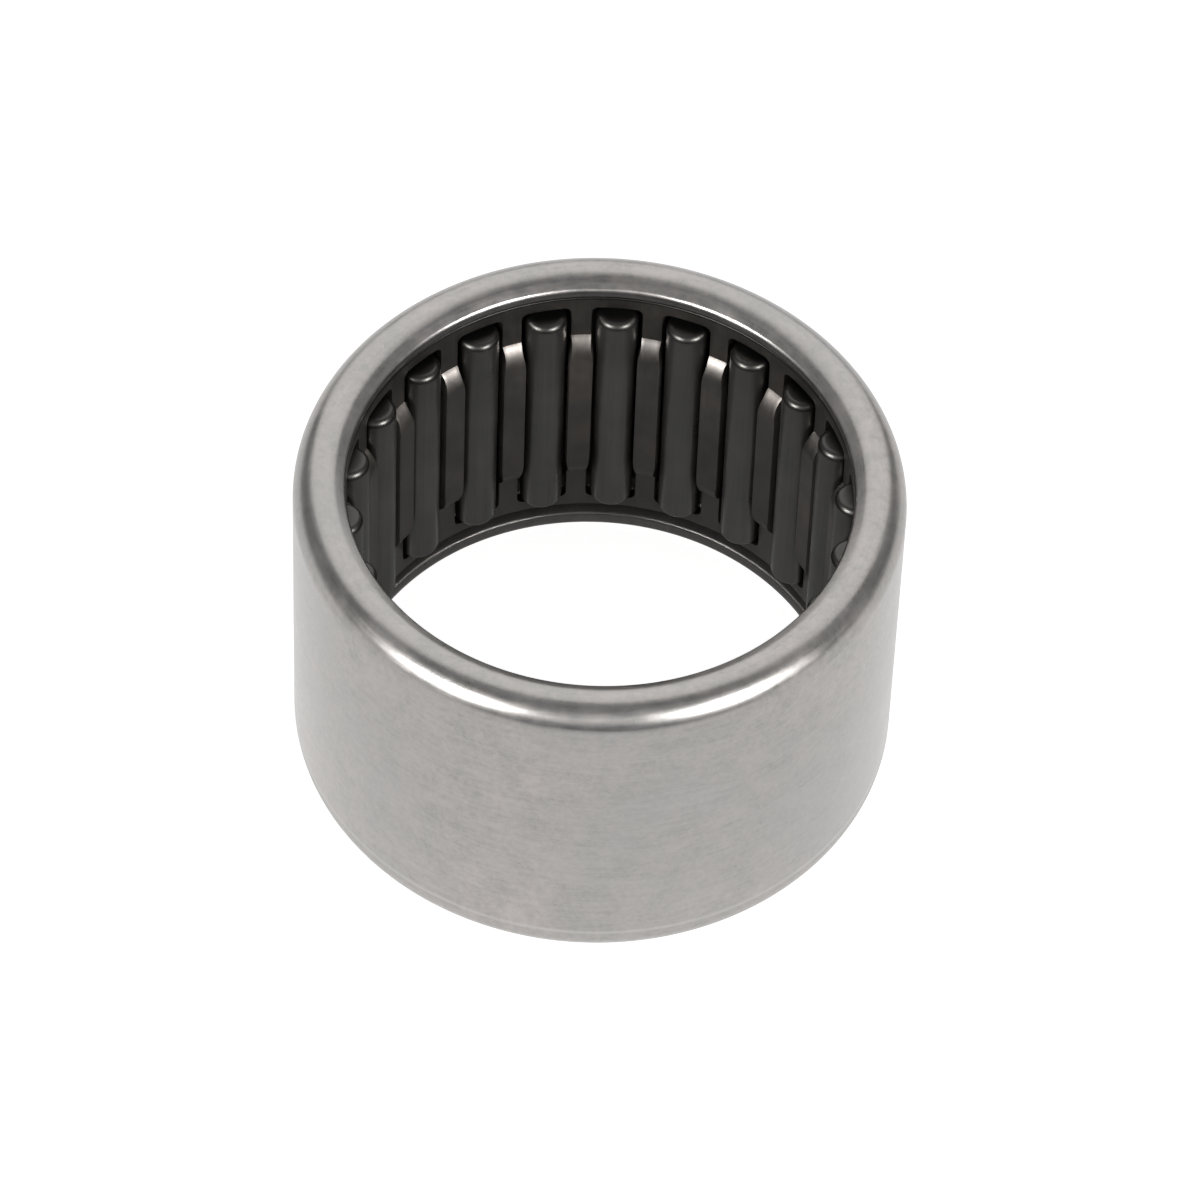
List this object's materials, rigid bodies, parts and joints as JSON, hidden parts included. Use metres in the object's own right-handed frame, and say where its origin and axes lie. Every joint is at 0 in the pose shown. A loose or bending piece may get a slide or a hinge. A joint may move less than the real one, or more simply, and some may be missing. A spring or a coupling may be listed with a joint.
{
  "type": "needle roller bearing",
  "caption": "Drawn-cup needle roller bearing: a plain steel cup with turned-in lips at both open ends, a pressed cage and thin flat-ended needles.",
  "frame": {"origin": "centre of the lower end face, on the bearing's axis", "axes": "+Z along the bearing's axis, from the lower end face to the upper; +Y through needle_01"},
  "size_m": [0.04, 0.04, 0.025],
  "materials": {
    "cup_steel": "satin, as drawn and hardened, with faint stains",
    "cage_steel": "dull grey pressed sheet",
    "needle_steel": "ground and polished, oiled"
  },
  "bodies": {
    "outer_ring": {"outer_ring": "cup_steel"},
    "cage": {"cage": "cage_steel"},
    "needle_01": {"needle_01": "needle_steel"},
    "needle_02": {"needle_02": "needle_steel"},
    "needle_03": {"needle_03": "needle_steel"},
    "needle_04": {"needle_04": "needle_steel"},
    "needle_05": {"needle_05": "needle_steel"},
    "needle_06": {"needle_06": "needle_steel"},
    "needle_07": {"needle_07": "needle_steel"},
    "needle_08": {"needle_08": "needle_steel"},
    "needle_09": {"needle_09": "needle_steel"},
    "needle_10": {"needle_10": "needle_steel"},
    "needle_11": {"needle_11": "needle_steel"},
    "needle_12": {"needle_12": "needle_steel"},
    "needle_13": {"needle_13": "needle_steel"},
    "needle_14": {"needle_14": "needle_steel"},
    "needle_15": {"needle_15": "needle_steel"},
    "needle_16": {"needle_16": "needle_steel"},
    "needle_17": {"needle_17": "needle_steel"},
    "needle_18": {"needle_18": "needle_steel"},
    "needle_19": {"needle_19": "needle_steel"},
    "needle_20": {"needle_20": "needle_steel"},
    "needle_21": {"needle_21": "needle_steel"},
    "needle_22": {"needle_22": "needle_steel"}
  },
  "joints": [
    {"name": "cage_turn", "type": "hinge", "parent": "outer_ring", "child": "cage", "pos_m": [0, 0, 0.0125], "axis": [0, 0, 1], "continuous": true},
    {"name": "needle_01_spin", "type": "hinge", "parent": "cage", "child": "needle_01", "pos_m": [0, 0.01685, 0.01265], "axis": [0, 0, 1], "continuous": true},
    {"name": "needle_02_spin", "type": "hinge", "parent": "cage", "child": "needle_02", "pos_m": [-0.00475, 0.01617, 0.01265], "axis": [0, 0, 1], "continuous": true},
    {"name": "needle_03_spin", "type": "hinge", "parent": "cage", "child": "needle_03", "pos_m": [-0.00911, 0.01418, 0.01265], "axis": [0, 0, 1], "continuous": true},
    {"name": "needle_04_spin", "type": "hinge", "parent": "cage", "child": "needle_04", "pos_m": [-0.01273, 0.01103, 0.01265], "axis": [0, 0, 1], "continuous": true},
    {"name": "needle_05_spin", "type": "hinge", "parent": "cage", "child": "needle_05", "pos_m": [-0.01533, 0.007, 0.01265], "axis": [0, 0, 1], "continuous": true},
    {"name": "needle_06_spin", "type": "hinge", "parent": "cage", "child": "needle_06", "pos_m": [-0.01668, 0.0024, 0.01265], "axis": [0, 0, 1], "continuous": true},
    {"name": "needle_07_spin", "type": "hinge", "parent": "cage", "child": "needle_07", "pos_m": [-0.01668, -0.0024, 0.01265], "axis": [0, 0, 1], "continuous": true},
    {"name": "needle_08_spin", "type": "hinge", "parent": "cage", "child": "needle_08", "pos_m": [-0.01533, -0.007, 0.01265], "axis": [0, 0, 1], "continuous": true},
    {"name": "needle_09_spin", "type": "hinge", "parent": "cage", "child": "needle_09", "pos_m": [-0.01273, -0.01103, 0.01265], "axis": [0, 0, 1], "continuous": true},
    {"name": "needle_10_spin", "type": "hinge", "parent": "cage", "child": "needle_10", "pos_m": [-0.00911, -0.01418, 0.01265], "axis": [0, 0, 1], "continuous": true},
    {"name": "needle_11_spin", "type": "hinge", "parent": "cage", "child": "needle_11", "pos_m": [-0.00475, -0.01617, 0.01265], "axis": [0, 0, 1], "continuous": true},
    {"name": "needle_12_spin", "type": "hinge", "parent": "cage", "child": "needle_12", "pos_m": [0, -0.01685, 0.01265], "axis": [0, 0, 1], "continuous": true},
    {"name": "needle_13_spin", "type": "hinge", "parent": "cage", "child": "needle_13", "pos_m": [0.00475, -0.01617, 0.01265], "axis": [0, 0, 1], "continuous": true},
    {"name": "needle_14_spin", "type": "hinge", "parent": "cage", "child": "needle_14", "pos_m": [0.00911, -0.01418, 0.01265], "axis": [0, 0, 1], "continuous": true},
    {"name": "needle_15_spin", "type": "hinge", "parent": "cage", "child": "needle_15", "pos_m": [0.01273, -0.01103, 0.01265], "axis": [0, 0, 1], "continuous": true},
    {"name": "needle_16_spin", "type": "hinge", "parent": "cage", "child": "needle_16", "pos_m": [0.01533, -0.007, 0.01265], "axis": [0, 0, 1], "continuous": true},
    {"name": "needle_17_spin", "type": "hinge", "parent": "cage", "child": "needle_17", "pos_m": [0.01668, -0.0024, 0.01265], "axis": [0, 0, 1], "continuous": true},
    {"name": "needle_18_spin", "type": "hinge", "parent": "cage", "child": "needle_18", "pos_m": [0.01668, 0.0024, 0.01265], "axis": [0, 0, 1], "continuous": true},
    {"name": "needle_19_spin", "type": "hinge", "parent": "cage", "child": "needle_19", "pos_m": [0.01533, 0.007, 0.01265], "axis": [0, 0, 1], "continuous": true},
    {"name": "needle_20_spin", "type": "hinge", "parent": "cage", "child": "needle_20", "pos_m": [0.01273, 0.01103, 0.01265], "axis": [0, 0, 1], "continuous": true},
    {"name": "needle_21_spin", "type": "hinge", "parent": "cage", "child": "needle_21", "pos_m": [0.00911, 0.01418, 0.01265], "axis": [0, 0, 1], "continuous": true},
    {"name": "needle_22_spin", "type": "hinge", "parent": "cage", "child": "needle_22", "pos_m": [0.00475, 0.01617, 0.01265], "axis": [0, 0, 1], "continuous": true}
  ],
  "couplings": [
    {"joint": "needle_01_spin", "follows": "cage_turn", "ratio": -12.825},
    {"joint": "needle_02_spin", "follows": "cage_turn", "ratio": -12.825},
    {"joint": "needle_03_spin", "follows": "cage_turn", "ratio": -12.825},
    {"joint": "needle_04_spin", "follows": "cage_turn", "ratio": -12.825},
    {"joint": "needle_05_spin", "follows": "cage_turn", "ratio": -12.825},
    {"joint": "needle_06_spin", "follows": "cage_turn", "ratio": -12.825},
    {"joint": "needle_07_spin", "follows": "cage_turn", "ratio": -12.825},
    {"joint": "needle_08_spin", "follows": "cage_turn", "ratio": -12.825},
    {"joint": "needle_09_spin", "follows": "cage_turn", "ratio": -12.825},
    {"joint": "needle_10_spin", "follows": "cage_turn", "ratio": -12.825},
    {"joint": "needle_11_spin", "follows": "cage_turn", "ratio": -12.825},
    {"joint": "needle_12_spin", "follows": "cage_turn", "ratio": -12.825},
    {"joint": "needle_13_spin", "follows": "cage_turn", "ratio": -12.825},
    {"joint": "needle_14_spin", "follows": "cage_turn", "ratio": -12.825},
    {"joint": "needle_15_spin", "follows": "cage_turn", "ratio": -12.825},
    {"joint": "needle_16_spin", "follows": "cage_turn", "ratio": -12.825},
    {"joint": "needle_17_spin", "follows": "cage_turn", "ratio": -12.825},
    {"joint": "needle_18_spin", "follows": "cage_turn", "ratio": -12.825},
    {"joint": "needle_19_spin", "follows": "cage_turn", "ratio": -12.825},
    {"joint": "needle_20_spin", "follows": "cage_turn", "ratio": -12.825},
    {"joint": "needle_21_spin", "follows": "cage_turn", "ratio": -12.825},
    {"joint": "needle_22_spin", "follows": "cage_turn", "ratio": -12.825}
  ]
}
